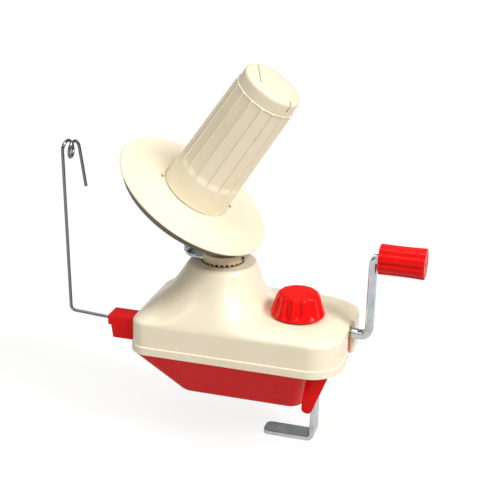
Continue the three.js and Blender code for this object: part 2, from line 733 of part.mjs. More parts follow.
const tubeX = (inner, outer, x0, x1) => cut(rodX(outer, x0, x1), [rodX(inner, x0 - 1, x1 + 1)]);

function driveGear() {
  const cone = shaftAngle - pinionCone;
  const gear = facingX(bevelGear({ teeth: driveTeeth, cone, far: driveFar, near: driveNear, web: 2 }));
  const hub = rodX(9, 9, gearBack + 7);
  return cut(union([gear, hub]), [rodX(crankBar.journal + gap, 0, 40)]);
}

add('crank_arm', 'zinc', crankArm(), crankFrame);
add('crank_grip', 'red', crankGrip(), crankFrame);
add('drive_gear', 'nylon', driveGear(), crankFrame);
add('gear_collar', 'steel', cut(
  tubeX(crankBar.journal + gap, 7, gearBack + 7.3, gearBack + 13.3),
  [rod(1.5 + gap, 0, 12, { x: gearBack + 10.3, segments: 12 })],
), crankFrame);
add('collar_screw', 'steel', rod(1.5, crankBar.journal + gap, 7.6, {
  x: gearBack + 10.3, segments: 12,
}), crankFrame);
add('crank_bush_inner', 'brass', tubeX(crankBar.journal + gap, 5, 33.6, 40.4), crankFrame);
add('crank_bush_outer', 'brass', tubeX(crankBar.journal + gap, 5, wallInside - 1, 101.6), crankFrame);
add('crank_clip', 'steel', tubeX(crankBar.journal + gap, 4.6, wallInside - 2.6, wallInside - 1.6),
  crankFrame);

// ---- Table clamp: knob, stud, washer, clip and sliding hook ----

const at = { x: knob.x, y: knob.y };

function clampKnob() {
  const flutes = 12;
  const count = flutes * 4;
  const profile = [
    [knob.radius, 0], [knob.radius, 1.5], [knob.topRadius + 0.9, knob.height * 0.84],
    [knob.topRadius - 1.2, knob.height * 0.95], [knob.topRadius - 4, knob.height],
  ];
  const rings = profile.map(([radius, z], j) => Array.from({ length: count }, (_, k) => {
    const angle = (2 * Math.PI * k) / count;
    const depth = [0, 0.3, 0.45, 0.1, 0][j];
    const reach = radius - depth * (1 - Math.cos(flutes * angle));
    const height = knob.base + z;
    return new THREE.Vector3(at.x + reach * Math.cos(angle), at.y + reach * Math.sin(angle), height);
  }));
  const under = rod(knob.radius - 2.6, knob.base - 1, knob.base + 5, { ...at, segments: 40 });
  const core = rod(7, knob.base, knob.base + 8, { ...at });
  const body = union([cut(loft(rings), [under]), core]);
  return cut(body, [rod(studRadius + gap, 60, knob.base + 12, at)]);
}

function clampHook() {
  const { x, footTop, footEnd, legTop, thick, width } = hook;
  const footMiddle = footTop - thick / 2;
  const path = roundedPath([
    corner(footEnd + width / 2, 0, footMiddle), corner(x, 0, footMiddle, 4.4),
    corner(x, 0, legTop - thick / 2, 4.4), corner(at.x, 0, legTop - thick / 2),
  ]);
  const strip = sweep(path, flatSection(width, thick, 0.5), new THREE.Vector3(0, 1, 0));
  const toe = rod(width / 2, footTop - thick, footTop, { x: footEnd + width / 2 });
  const eye = rod(6.5, legTop - thick, legTop, at);
  return cut(union([strip, toe, eye]), [rod(studRadius + gap, 0, 60, at)]);
}

add('clamp_knob', 'red', clampKnob());
add('clamp_stud', 'zinc', rod(studRadius, 12, knob.base + 11.5, at));
add('knob_washer', 'zinc', ring(studRadius + gap, 7, knob.base - 1.3, knob.base - gap, 24)
  .translate([at.x, at.y, 0]));
add('stud_clip', 'steel', ring(studRadius + gap, 5.6, 61.6, 62.6, 24).translate([at.x, at.y, 0]));
add('clamp_hook', 'zinc', clampHook());

// ---- Wire guide and its holder ----

function guideHolder() {
  const { left, right, low, high, half } = holder;
  const block = plateXZ([
    [left, high], [right, high], [right, low], [left + 4, low], [left + 2.5, 48], [left, 48],
  ], [guide.y - half, guide.y + half]);
  const tenon = box([right - 1, -54], [guide.y - 5, guide.y + 5], [44, 54]);
  const bore = rodX(guide.wire + gap, left - 5, right - 3, {
    y: guide.y, z: guide.axis, segments: 14,
  });
  return cut(union([block, tenon]), [bore]);
}

function guideWire() {
  const { y, axis, loop } = guide;
  const loopTop = { x: -119.6, z: 181 };
  const arm = roundedPath([
    corner(holder.right - 4, y, axis), corner(-87, y, axis, 4), corner(-117, y, axis + 1.8, 4),
    corner(loopTop.x, y, loopTop.z),
  ]).slice(0, -1);
  const turns = 1.5;
  const steps = 24;
  const pitch = 5.4;
  const coil = Array.from({ length: steps + 1 }, (_, k) => {
    const angle = (2 * Math.PI * turns * k) / steps;
    return new THREE.Vector3(
      loopTop.x + (pitch * turns * k) / steps,
      y + loop * (1 - Math.cos(angle)),
      loopTop.z + loop * Math.sin(angle),
    );
  });
  const tail = new THREE.Vector3(-107, y + 2 * loop, 151);
  return sweep([...arm, ...coil, tail], roundSection(guide.wire), new THREE.Vector3(0, 1, 0));
}

add('guide_holder', 'red', guideHolder());
add('guide_wire', 'chrome', guideWire());

export default winder;
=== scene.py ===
"""Visual model of a hand-cranked yarn ball winder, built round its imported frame.

Lengths are in millimetres until a piece is finished, and +Z is up. The crank is at +X.
"""

import json
import math

import bmesh
import bpy
from mathutils import Matrix, Vector


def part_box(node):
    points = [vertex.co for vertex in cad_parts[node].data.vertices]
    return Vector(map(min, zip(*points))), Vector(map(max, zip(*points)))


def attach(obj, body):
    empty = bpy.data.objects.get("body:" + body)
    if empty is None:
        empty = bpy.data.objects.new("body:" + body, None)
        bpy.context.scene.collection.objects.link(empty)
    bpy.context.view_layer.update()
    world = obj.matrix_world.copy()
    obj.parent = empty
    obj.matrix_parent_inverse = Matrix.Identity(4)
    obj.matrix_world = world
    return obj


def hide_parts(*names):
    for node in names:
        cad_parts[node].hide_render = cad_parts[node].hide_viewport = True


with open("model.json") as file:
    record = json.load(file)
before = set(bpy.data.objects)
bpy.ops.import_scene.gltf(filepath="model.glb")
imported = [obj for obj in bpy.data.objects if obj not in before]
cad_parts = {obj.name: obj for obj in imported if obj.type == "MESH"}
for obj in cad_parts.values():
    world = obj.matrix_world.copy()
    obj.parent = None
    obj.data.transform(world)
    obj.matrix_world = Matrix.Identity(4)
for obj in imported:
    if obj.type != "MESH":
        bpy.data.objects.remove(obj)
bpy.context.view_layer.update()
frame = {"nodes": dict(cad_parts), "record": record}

# ---- Camera, floor and light ----
# A floor just under the clamp's foot and a sky, which both look whiter than the light they
# throw. A soft high key light comes from the right, with a weaker one from above. Two panes
# and a low card in front give the reflections.

eye = Vector((0.2403, -0.7765, 0.4161))
turn, dip, roll = (math.radians(a) for a in (15.77, 20.69, 1.33))
ahead = Vector((-math.sin(turn) * math.cos(dip), math.cos(turn) * math.cos(dip), -math.sin(dip)))
across = Vector((math.cos(turn), math.sin(turn), 0))
upward = across.cross(ahead)
right = across * math.cos(roll) + upward * math.sin(roll)
above = upward * math.cos(roll) - across * math.sin(roll)

camera = bpy.data.objects.new("camera", bpy.data.cameras.new("camera"))
camera.data.sensor_width = 36
camera.data.lens = 82.4
camera.matrix_world = Matrix.Translation(eye) @ Matrix((right, above, -ahead)).transposed().to_4x4()
bpy.context.scene.collection.objects.link(camera)
bpy.context.scene.camera = camera
bpy.context.scene.view_settings.view_transform = "Standard"


class Socket:
    """A shader socket that takes part in sums as a number does."""

    def __init__(self, finish, socket):
        self.finish = finish
        self.socket = socket

    def combined(self, operation, first, second):
        return self.finish.node("Math", {"operation": operation}, {0: first, 1: second})

    def __add__(self, other):
        return self.combined("ADD", self, other)

    def __sub__(self, other):
        return self.combined("SUBTRACT", self, other)

    def __mul__(self, other):
        return self.combined("MULTIPLY", self, other)

    __radd__ = __add__
    __rmul__ = __mul__


class NodeTree:
    """Nodes of a world or a material, made one at a time."""

    def __init__(self, owner):
        owner.use_nodes = True
        self.nodes = owner.node_tree.nodes
        self.links = owner.node_tree.links

    def node(self, kind, settings=None, inputs=None, output=0):
        made = self.nodes.new("ShaderNode" + kind)
        for name, value in (settings or {}).items():
            setattr(made, name, value)
        for name, value in (inputs or {}).items():
            self.plug(made.inputs[name], value)
        return Socket(self, made.outputs[output])

    def plug(self, socket, value):
        if isinstance(value, Socket):
            self.links.new(value.socket, socket)
        else:
            socket.default_value = value


class Finish(NodeTree):
    """A material built on the principled shader."""

    def __init__(self, name, **fixed):
        self.material = bpy.data.materials.new(name)
        super().__init__(self.material)
        self.shader = self.nodes["Principled BSDF"]
        self.wear(**fixed)

    def wear(self, **values):
        for name, value in values.items():
            self.plug(self.shader.inputs[name.replace("_", " ")], value)

    def noise(self, place, scale, detail=2.0):
        return self.node("TexNoise", None, {"Vector": place, "Scale": scale, "Detail": detail})

    def mixed(self, share, first, second):
        return self.node("Mix", {"data_type": "RGBA"}, {0: share, 6: first, 7: second}, 2)


def tint(red, green, blue):
    """A colour given as it looks on a screen, 0 to 255, in the light's own measure."""
    shares = [part / 255 for part in (red, green, blue)]
    return [s / 12.92 if s < 0.04 else ((s + 0.055) / 1.055) ** 2.4 for s in shares] + [1]


def lamp(name, kind, energy, place, target, **settings):
    data = bpy.data.lights.new(name, kind)
    data.energy = energy
    for key, value in settings.items():
        setattr(data, key, value)
    made = bpy.data.objects.new(name, data)
    made.location = place
    made.rotation_euler = (Vector(target) - Vector(place)).to_track_quat("-Z", "Y").to_euler()
    bpy.context.scene.collection.objects.link(made)
    return made


middle = (0.02, 0, 0.1)
lamp("key", "SUN", 2.5, (1.3, -0.42, 1.35), middle, angle=0.4)
lamp("top", "SUN", 1.0, (-0.1, -0.1, 1.5), middle, angle=0.9)
lamp("window", "AREA", 2.6, (0.75, -0.95, 0.95), middle, shape="RECTANGLE", size=0.2, size_y=0.3)
lamp("pane", "AREA", 0.5, (-0.55, -0.8, 0.9), middle, shape="RECTANGLE", size=0.08, size_y=0.2)
lamp("card", "AREA", 1.8, (0.3, -1.6, 0.25), middle, shape="RECTANGLE", size=1.2, size_y=0.5)


sky = bpy.data.worlds.new("sky")
bpy.context.scene.world = sky
sky_nodes = NodeTree(sky)
outward = sky_nodes.node("TexCoord", output=0)
rise = sky_nodes.node("SeparateXYZ", None, {0: outward}, 2)
glow = sky_nodes.node("MapRange", None, {
    "Value": rise, "From Min": 0.0, "From Max": 1.0, "To Min": 0.1, "To Max": 0.5})
looked_at = sky_nodes.node("LightPath", output="Is Camera Ray")
sky_nodes.plug(sky_nodes.nodes["Background"].inputs["Strength"], glow + looked_at * 0.9)
sky_nodes.plug(sky_nodes.nodes["Background"].inputs["Color"], tint(255, 252, 247))

floor_shape = bmesh.new()
bmesh.ops.create_grid(floor_shape, x_segments=1, y_segments=1, size=40)
floor_mesh = bpy.data.meshes.new("floor")
floor_shape.to_mesh(floor_mesh)
floor = bpy.data.objects.new("floor", floor_mesh)
floor.location.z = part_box("clamp_hook")[0].z - 0.0002
bpy.context.scene.collection.objects.link(floor)
paper = bpy.data.materials.new("floor_paper")
paper_nodes = NodeTree(paper)
paper_nodes.nodes.clear()
seen = paper_nodes.node("LightPath", output="Is Camera Ray")
mirrored = paper_nodes.node("LightPath", output="Is Glossy Ray")
matt = paper_nodes.node("BsdfDiffuse", None, {"Color": tint(176, 176, 175)})
lit = paper_nodes.node("Emission", None, {"Color": tint(254, 254, 253), "Strength": 0.86})
pale = paper_nodes.node("BsdfDiffuse", None, {"Color": tint(112, 112, 112)})
glowing = paper_nodes.node("AddShader", None, {0: lit, 1: pale})
shown = paper_nodes.node("MixShader", None, {0: seen + mirrored * 0.6, 1: matt, 2: glowing})
paper_nodes.plug(paper_nodes.nodes.new("ShaderNodeOutputMaterial").inputs["Surface"], shown)
floor_mesh.materials.append(paper)

# ---- Upper housing ----
# The cream lid of the casing, one glossy moulding: a domed neck round the spindle, a
# sloping deck with a soft crease, straight walls, a lip band, and an end wall whose far
# half stands further out. The crank's shaft leaves through a keyhole slot.

LEFT, RIGHT, HALF = 59.4, 100.6, 48.1
LEFT_CORNER, RIGHT_CORNER = 13, 24
LIP_LOW, LIP_HIGH, LIP_PROUD = 35.4, 41.7, 1
CREASE, CROWN = 60.4, 6.8
NECK_RADIUS, NECK_TOP, NECK_OPENING = 26, 100.7, 16.3
WALL = 2.4
FILLET = 1.7
STEP_OUT, STEP_Y = 2.1, 8
CRANK_HEIGHT = 54.7


def reach(angle, half, left, right, left_corner, right_corner):
    """Distance from the spindle's axis to a rounded rectangle round it, in a direction."""
    c, s = abs(math.cos(angle)), abs(math.sin(angle))
    side, corner = (right, right_corner) if math.cos(angle) > 0 else (left, left_corner)
    flat = min(side / max(c, 1e-9), half / max(s, 1e-9))
    hub_x, hub_y = side - corner, half - corner
    if c * flat <= hub_x or s * flat <= hub_y:
        return flat
    along = c * hub_x + s * hub_y
    return along + math.sqrt(along**2 - hub_x**2 - hub_y**2 + corner**2)


def casing_reach(angle, grow=0.0, out=0.0):
    return reach(angle, HALF + grow, LEFT + grow, RIGHT + out + grow,
                 LEFT_CORNER + grow, RIGHT_CORNER + grow)


def spread(start, end, steps):
    return [start + (end - start) * k / steps for k in range(steps)]


step_angle = math.atan2(STEP_Y, RIGHT)
corner_angles = [
    math.atan2(HALF - RIGHT_CORNER, RIGHT), math.atan2(HALF, RIGHT - RIGHT_CORNER),
    math.pi - math.atan2(HALF, LEFT - LEFT_CORNER), math.pi - math.atan2(HALF - LEFT_CORNER, LEFT),
]
STEP_BLEND = math.radians(0.03)
far_side = [
    *spread(0, step_angle, 3), step_angle, *spread(step_angle + STEP_BLEND, corner_angles[0], 4),
    *spread(corner_angles[0], corner_angles[1], 16), *spread(corner_angles[1], corner_angles[2], 30),
    *spread(corner_angles[2], corner_angles[3], 14), *spread(corner_angles[3], math.pi, 8),
]
near_side = [math.pi, *[-a for a in reversed(far_side[1:]) if a != step_angle]]
directions = far_side + near_side


def deck_height(angle, distance):
    """Height of the deck and dome, at a distance from the neck's edge."""
    span = casing_reach(angle) - NECK_RADIUS
    dome_reach = min(span + 9, 36 - 20.5 * max(math.cos(angle), 0))

    def fall(d):
        return max(1 - d / dome_reach, 0) ** 2

    dome = (fall(distance) - fall(span)) / (1 - fall(span))
    deck = CROWN * (1 - (max(distance, 0) / span) ** 5)
    height = CREASE + deck + (NECK_TOP - CREASE - CROWN) * dome
    soft = 5
    lower = min(height, NECK_TOP)
    return lower - max(soft - abs(height - NECK_TOP), 0) ** 2 / (4 * soft)


def casing_profile(angle):
    """Radius and height of the housing's skin in one direction, outside and then inside."""
    out = STEP_OUT if step_angle < angle < math.pi / 2 else 0
    edge, wall = casing_reach(angle), casing_reach(angle, 0, out)
    span = edge - NECK_RADIUS - FILLET
    foot = min(span * 0.72, 15.5)
    rows = [(NECK_OPENING, NECK_TOP), (NECK_OPENING + 3, NECK_TOP)]
    for distance in (-5, -3.8, -2.6, -1.6, -0.8, 0, 0.6, 1.2, 1.8):
        rows.append((NECK_RADIUS + distance, deck_height(angle, distance)))
    levels = [0.08, 0.11, 0.14] + [0.18 + 0.041 * k for k in range(21)]
    for level in levels:
        distance = foot * level / 0.55 if level < 0.55 else (
            foot + (span - foot) * (level - 0.55) / 0.45)
        stretch = (wall - edge) * max((level - 0.8) / 0.2, 0) ** 2
        rows.append((NECK_RADIUS + distance + stretch, deck_height(angle, distance)))
    start, tip, end = rows[-1], (wall, CREASE), (wall, CREASE - FILLET)
    for t in (0.2, 0.4, 0.6, 0.8, 1):
        rows.append(tuple(
            (1 - t) ** 2 * a + 2 * t * (1 - t) * b + t * t * c
            for a, b, c in zip(start, tip, end)))
    lip = max(casing_reach(angle, LIP_PROUD), wall)
    rows += [
        (wall, CREASE - FILLET - 0.4), (wall, LIP_HIGH + 0.7), (wall, LIP_HIGH + 0.25),
        (wall + (lip - wall) * 0.3, LIP_HIGH), (wall + (lip - wall) * 0.8, LIP_HIGH - 0.1),
        (lip, LIP_HIGH - 0.5), (lip, LIP_HIGH - 0.9), (lip, LIP_LOW + 0.8), (lip, LIP_LOW + 0.4),
        (lip - 0.4, LIP_LOW),
    ]
    inner = casing_reach(angle, -WALL)
    rows += [(inner, LIP_LOW), (inner, LIP_LOW + 8)]
    for level in (1, 0.8, 0.6, 0.45, 0.3, 0.15):
        distance = (edge - NECK_RADIUS) * level
        radius = NECK_RADIUS - WALL + (inner - NECK_RADIUS + WALL) * level
        rows.append((radius, deck_height(angle, distance) - WALL))
    rows += [(NECK_RADIUS - WALL - 1, NECK_TOP - WALL), (NECK_OPENING, NECK_TOP - WALL)]
    return rows


def drawn(rings, closed=False):
    """A skin through rings of points: a circle moved to the first, and extruded on."""
    bm = bmesh.new()
    loop = bmesh.ops.create_circle(bm, segments=len(rings[0]), radius=1)["verts"]
    for vert, place in zip(loop, rings[0]):
        vert.co = place
    for ring in rings[1:] + (rings[:1] if closed else []):
        edges = [bm.edges.get((loop[k - 1], loop[k])) for k in range(len(loop))]
        made = bmesh.ops.extrude_edge_only(bm, edges=edges)["geom"]
        fresh = {v for v in made if isinstance(v, bmesh.types.BMVert)}
        loop = [
            next(e.other_vert(v) for e in v.link_edges if e.other_vert(v) in fresh) for v in loop
        ]
        for vert, place in zip(loop, ring):
            vert.co = place
    if closed:
        bmesh.ops.remove_doubles(bm, verts=bm.verts, dist=1e-4)
    else:
        bmesh.ops.holes_fill(bm, edges=[e for e in bm.edges if e.is_boundary], sides=0)
    return bm


def made(bm, name, place=None):
    """The object of a shape, which is put in its place and turned to metres."""
    bmesh.ops.recalc_face_normals(bm, faces=bm.faces)
    bm.transform(Matrix.Scale(0.001, 4) @ (place or Matrix.Identity(4)))
    mesh = bpy.data.meshes.new(name)
    bm.to_mesh(mesh)
    bm.free()
    piece = bpy.data.objects.new(name, mesh)
    bpy.context.scene.collection.objects.link(piece)
    return piece


def carved(piece, tool):
    """Cuts one closed shape out of a piece."""
    cut = piece.modifiers.new("cut", "BOOLEAN")
    cut.object = tool
    cut.operation = "DIFFERENCE"
    cut.solver = "EXACT"
    bpy.context.view_layer.update()
    graph = bpy.context.evaluated_depsgraph_get()
    mesh = bpy.data.meshes.new_from_object(piece.evaluated_get(graph))
    piece.modifiers.clear()
    piece.data = mesh
    bpy.data.objects.remove(tool)


def dressed(piece, body, slot, finish, *nodes, bevel=0.0, sharp=34):
    """Shades and bevels a piece, gives it its finish, and fixes it to its body."""
    mesh = piece.data
    mesh.shade_smooth()
    mesh.set_sharp_from_angle(angle=math.radians(sharp))
    mesh.materials.clear()
    mesh.materials.append(finish.material)
    if bevel:
        edges = piece.modifiers.new("edges", "BEVEL")
        edges.width = bevel * 0.001
        edges.segments = 3
        edges.limit_method = "ANGLE"
        edges.angle_limit = math.radians(sharp)
        mesh.set_sharp_from_angle(angle=math.pi)
    normals = piece.modifiers.new("normals", "WEIGHTED_NORMAL")
    normals.keep_sharp = True
    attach(piece, body)
    if nodes:
        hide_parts(*nodes)
    return piece


def moulded(name, light, dark, roughness, cloud_scale=24.0, peel=0.00004, **fixed):
    """Glossy moulding: faint flow clouds in the colour, orange peel, and fine specks."""
    finish = Finish(name, **fixed)
    place = finish.node("TexCoord", output="Object")
    cloud = finish.noise(place, cloud_scale, 3.0)
    speck = finish.noise(place, 2600.0, 1.0)
    wave = finish.noise(place, 210.0, 1.0)
    share = finish.node("MapRange", None, {
        "Value": cloud * 0.85 + speck * 0.15, "From Min": 0.32, "From Max": 0.68})
    relief = finish.node("Bump", None, {
        "Strength": 0.5, "Distance": peel, "Height": wave + speck * 0.12})
    finish.wear(Base_Color=finish.mixed(share, light, dark), Normal=relief,
                Roughness=roughness + (cloud - 0.5) * 0.14 + (speck - 0.5) * 0.05)
    return finish


cream = moulded("cream_moulding", tint(244, 233, 207), tint(239, 227, 198), 0.28,
                Coat_Weight=0.2, Coat_Roughness=0.12)

profiles = [casing_profile(angle) for angle in directions]
housing_rings = [
    [Vector((r * math.cos(a), r * math.sin(a), z)) for a, (r, z) in zip(directions, row)]
    for row in zip(*profiles)
]
housing = made(drawn(housing_rings, closed=True), "housing_shell")


def slot_tool(radius, x0, x1, low):
    """A bar with a round top and a straight foot, along X, which cuts the keyhole."""
    bm = bmesh.new()
    arch = [(radius * math.cos(t), CRANK_HEIGHT + radius * math.sin(t))
            for t in (math.pi * k / 24 for k in range(25))]
    outline = [*arch, (-radius, low), (radius, low)]
    face = bm.faces.new([bm.verts.new((x0, y, z)) for y, z in outline])
    moved = bmesh.ops.extrude_face_region(bm, geom=[face])["geom"]
    bmesh.ops.translate(bm, vec=(x1 - x0, 0, 0),
                        verts=[v for v in moved if isinstance(v, bmesh.types.BMVert)])
    return bm


carved(housing, made(slot_tool(5.3, 94, 112, 30), "slot_tool"))
dressed(housing, "casing", "cream_plastic", cream, "upper_housing")

# ---- Lower tray ----
# The red tub under the lid, moulded with sloping sides, a rim plate that the lid screws
# down on, a tab that closes the shaft's slot, and two tongues either side of the clamp.

red = moulded("red_moulding", tint(236, 16, 13), tint(226, 9, 9), 0.25, peel=0.00005,
              Specular_IOR_Level=0.15, Coat_Weight=0.03, Coat_Roughness=0.08)


def rounded_rectangle(left, right, low, high, corner, steps=9):
    """Points round a rectangle with rounded corners, from its right side on."""
    points = []
    hubs = [(right - corner, high - corner), (left + corner, high - corner),
            (left + corner, low + corner), (right - corner, low + corner)]
    for quarter, (x, y) in enumerate(hubs):
        for k in range(steps + 1):
            angle = math.pi / 2 * (quarter + k / steps)
            points.append((x + corner * math.cos(angle), y + corner * math.sin(angle)))
    return points


TRAY_TOP = 35.1
HOOK_X, HOOK_WIDE, HOOK_THICK = 76.3, 16, 3.6
WAY_SPARE, WAY_HALF = 2.2, 8.6


def tray_level(share, inset, z, corner):
    """One level of the tub, which widens from its flat bottom to its rim."""
    half = 29.5 + (46.4 - 29.5) * share - inset
    left = -24.5 + (-58.4 + 24.5) * share + inset
    right_end = 71 + (77.5 - 71) * share - inset
    return [Vector((x, y, z)) for x, y in rounded_rectangle(left, right_end, -half, half, corner)]


def slab(outline, low, high, axis="Y"):
    """A flat plate of an outline in the X-Z plane, or the Y-Z plane, with its thickness."""
    bm = bmesh.new()
    spot = (lambda a, b: (a, low, b)) if axis == "Y" else (lambda a, b: (low, a, b))
    face = bm.faces.new([bm.verts.new(spot(a, b)) for a, b in outline])
    moved = bmesh.ops.extrude_face_region(bm, geom=[face])["geom"]
    shift = (0, high - low, 0) if axis == "Y" else (high - low, 0, 0)
    bmesh.ops.translate(
        bm, vec=shift, verts=[v for v in moved if isinstance(v, bmesh.types.BMVert)])
    return bm


def hook_way(piece):
    """Clears the way of the clamp's hook, up the end wall and through the rim plate."""
    end = HOOK_X + WAY_SPARE
    for start, low, high in ((HOOK_X - WAY_SPARE, -30, 28), (60, 15, 60)):
        outline = [(start, low), (end, low), (end, high), (start, high)]
        way = slab(outline, -WAY_HALF, WAY_HALF)
        carved(piece, made(way, "hook_way_tool"))


tray_shape = drawn([
    tray_level(0.08, WALL, WALL + 0.2, 7), tray_level(0.95, WALL, TRAY_TOP - 1, 6),
    tray_level(1, 2 * WALL, TRAY_TOP + 0.9, 5), tray_level(1, WALL, TRAY_TOP + 0.9, 7),
    tray_level(1, 0.5, TRAY_TOP + 0.2, 8), tray_level(1, 0.1, TRAY_TOP - 0.3, 8),
    tray_level(0.98, 0, TRAY_TOP - 0.7, 8), tray_level(0.09, 0, 3.4, 9),
    tray_level(0.055, 0.1, 2, 9), tray_level(0.03, 0.5, 1, 9), tray_level(0.01, 1.1, 0.35, 9),
    tray_level(0, 1.8, 0.06, 9), tray_level(0, 2.8, 0, 9),
])
tray = made(tray_shape, "tray_tub")
hook_way(tray)
dressed(tray, "casing", "red_plastic", red, "lower_tray", sharp=40)

plate_rows = []
for grow, z in ((-5.6, 36), (-2.9, 36), (-2.7, 36.2), (-2.7, 38.2), (-2.9, 38.4), (-5.6, 38.4)):
    plate_rows.append([
        Vector((casing_reach(a, grow) * math.cos(a), casing_reach(a, grow) * math.sin(a), z))
        for a in directions])
opening = [
    min(reach(a, 41.6, 53.6, 72.7, 5, 5), casing_reach(a, -6.5)) for a in directions]
for z in (38.4, 36):
    plate_rows.append([
        Vector((r * math.cos(a), r * math.sin(a), z)) for a, r in zip(directions, opening)])
plate = made(drawn(plate_rows, closed=True), "tray_rim_plate")
hook_way(plate)
dressed(plate, "casing", "red_plastic", red)

tab = made(slab([(-4.9, 36.2), (4.9, 36.2), (4.9, 49.3), (-4.9, 49.3)], 96.5, 100.2, "X"),
           "slot_tab")
dressed(tab, "casing", "red_plastic", red, bevel=0.4)

tongue_end = [(72.6 + 4.4 * math.cos(t), -8.4 + 4.4 * math.sin(t))
              for t in (math.radians(-20 - 12 * k) for k in range(13))]
tongue_outline = [(93.6, TRAY_TOP + 0.95), *tongue_end, (68.3, 2), (76, TRAY_TOP + 0.95)]
for label, low in (("near", -12.4), ("far", 9.4)):
    tongue = made(slab(tongue_outline, low, low + 3), f"tray_tongue_{label}")
    dressed(tongue, "casing", "red_plastic", red, bevel=0.6, sharp=50)

# ---- Guide holder ----
# A red block plugged into the casing's left wall, with an overhanging top edge. The
# guide wire's leg turns in the hole through it.

guide_y, guide_axis = -22.7, 50.5
holder_shape = slab(
    [(-82.9, 55.9), (-61, 55.9), (-61, 37.6), (-78.9, 37.6), (-80.4, 48), (-82.9, 48)],
    guide_y - 8.2, guide_y + 8.2)
holder = made(holder_shape, "guide_block")
dressed(holder, "casing", "red_plastic", red, "guide_holder", bevel=0.7)

# ---- Guide wire ----
# Polished spring wire: a leg that turns in the holder, an upright, and a pigtail eye with
# a hanging tail, through which the yarn runs.


def rounded_path(corners, steps=10):
    """Points along straight runs joined by bends; a corner is a place and a bend radius."""
    path = [corners[0][0]]
    for k in range(1, len(corners) - 1):
        place, radius = corners[k]
        back = (corners[k - 1][0] - place).normalized()
        on = (corners[k + 1][0] - place).normalized()
        half = back.angle(on) / 2
        hub = place + (back + on).normalized() * (radius / math.sin(half))
        start = place + back * (radius / math.tan(half)) - hub
        axis = start.cross(place - hub).normalized()
        for step in range(steps + 1):
            bend = Matrix.Rotation((math.pi - 2 * half) * step / steps, 3, axis)
            path.append(bend @ start + hub)
    return [*path, corners[-1][0]]


def bar(path, section, side, scales=None):
    """A bar of one section along a path, thinned towards its ends by the scales."""
    rings = []
    across_bar = side.copy()
    for k, point in enumerate(path):
        forward = (path[min(k + 1, len(path) - 1)] - path[max(k - 1, 0)]).normalized()
        across_bar = (across_bar - forward * across_bar.dot(forward)).normalized()
        up = forward.cross(across_bar)
        size = scales.get(k if k * 2 < len(path) else k - len(path), 1) if scales else 1
        rings.append([point + across_bar * (a * size) + up * (b * size) for a, b in section])
    return drawn(rings)


def circle(radius, steps):
    return [(radius * math.cos(2 * math.pi * k / steps), radius * math.sin(2 * math.pi * k / steps))
            for k in range(steps)]


chrome = Finish("polished_wire", Metallic=1.0, Base_Color=tint(128, 129, 132))
chrome_place = chrome.node("TexCoord", output="Object")
chrome_haze = chrome.noise(chrome_place, 160.0, 3.0)
chrome.wear(Roughness=0.1 + chrome_haze * 0.12, Normal=chrome.node("Bump", None, {
    "Strength": 0.25, "Distance": 0.00003, "Height": chrome.noise(chrome_place, 900.0)}))

loop_x, loop_z, loop_radius = -119.6, 181, 6.2
wire_radius = 1.25
wire_path = rounded_path([
    (Vector((-64.9, guide_y, guide_axis)), 0), (Vector((-87, guide_y, guide_axis)), 4),
    (Vector((-117, guide_y, guide_axis + 1.8)), 4), (Vector((loop_x, guide_y, loop_z)), 0),
])[:-1]
for k in range(61):
    angle = 3 * math.pi * k / 60
    wire_path.append(Vector((
        loop_x + 8.1 * k / 60, guide_y + loop_radius * (1 - math.cos(angle)),
        loop_z + loop_radius * math.sin(angle))))
wire_path.append(Vector((-107, guide_y + 2 * loop_radius, 151)))
wire = made(bar(wire_path, circle(wire_radius, 16), Vector((0, 1, 0))), "guide_rod")
dressed(wire, "guide", "chrome_wire", chrome, "guide_wire", sharp=50)

# ---- Neck bush, foot bush, post and spindle sleeve ----
# The upright spindle: a turned steel post stands in the tray, and a nylon sleeve with the
# pinion on it turns round the post between a brass foot bush and a nylon neck bush.


def smoothed(node, body, slot, finish, bevel=0.0, sharp=34):
    """The same shape as a node of the frame, merged, with its edges eased."""
    bm = bmesh.new()
    bm.from_mesh(frame["nodes"][node].data)
    bmesh.ops.remove_doubles(bm, verts=bm.verts, dist=1e-6)
    mesh = bpy.data.meshes.new(node + "_eased")
    bm.to_mesh(mesh)
    bm.free()
    piece = bpy.data.objects.new(node + "_eased", mesh)
    bpy.context.scene.collection.objects.link(piece)
    return dressed(piece, body, slot, finish, node, bevel=bevel, sharp=sharp)


def metal(name, light, dark, roughness, stretch, **fixed):
    """Plated or turned metal: fine lines across the stretch, and cloudy plating."""
    finish = Finish(name, Metallic=1.0, **fixed)
    place = finish.node("TexCoord", output="Object")
    lines_place = finish.node("Mapping", None, {"Vector": place, "Scale": stretch})
    lines = finish.noise(lines_place, 60.0, 4.0)
    cloud = finish.noise(place, 90.0, 3.0)
    share = finish.node("MapRange", None, {"Value": cloud, "From Min": 0.35, "From Max": 0.65})
    finish.wear(
        Base_Color=finish.mixed(share, light, dark),
        Roughness=roughness + (lines - 0.5) * 0.2 + (cloud - 0.5) * 0.12,
        Normal=finish.node("Bump", None, {
            "Strength": 0.35, "Distance": 0.00003, "Height": lines}))
    return finish


nylon = moulded("nylon_moulding", tint(228, 224, 210), tint(218, 212, 196), 0.45)
steel = metal("turned_steel", tint(150, 152, 156), tint(126, 128, 132), 0.3, (30, 30, 1))
brass = metal("turned_brass", tint(196, 160, 88), tint(170, 134, 70), 0.3, (30, 30, 1))
for node, finish in (("centre_post", steel), ("foot_bush", brass), ("spindle_sleeve", nylon)):
    frame["nodes"][node].data.materials.clear()
    frame["nodes"][node].data.materials.append(finish.material)
# Painted shade: a dark brown finish that stands in for the shade under the saucer and inside the
# drum's notches.
dark = moulded("painted_shade_moulding", tint(98, 84, 64), tint(84, 71, 53), 0.45)
# The neck bush wears the painted shade, so that the notches round the drum's foot show dark.
smoothed("neck_bush", "casing", "nylon", dark)
smoothed("sun_gear", "casing", "nylon", nylon)

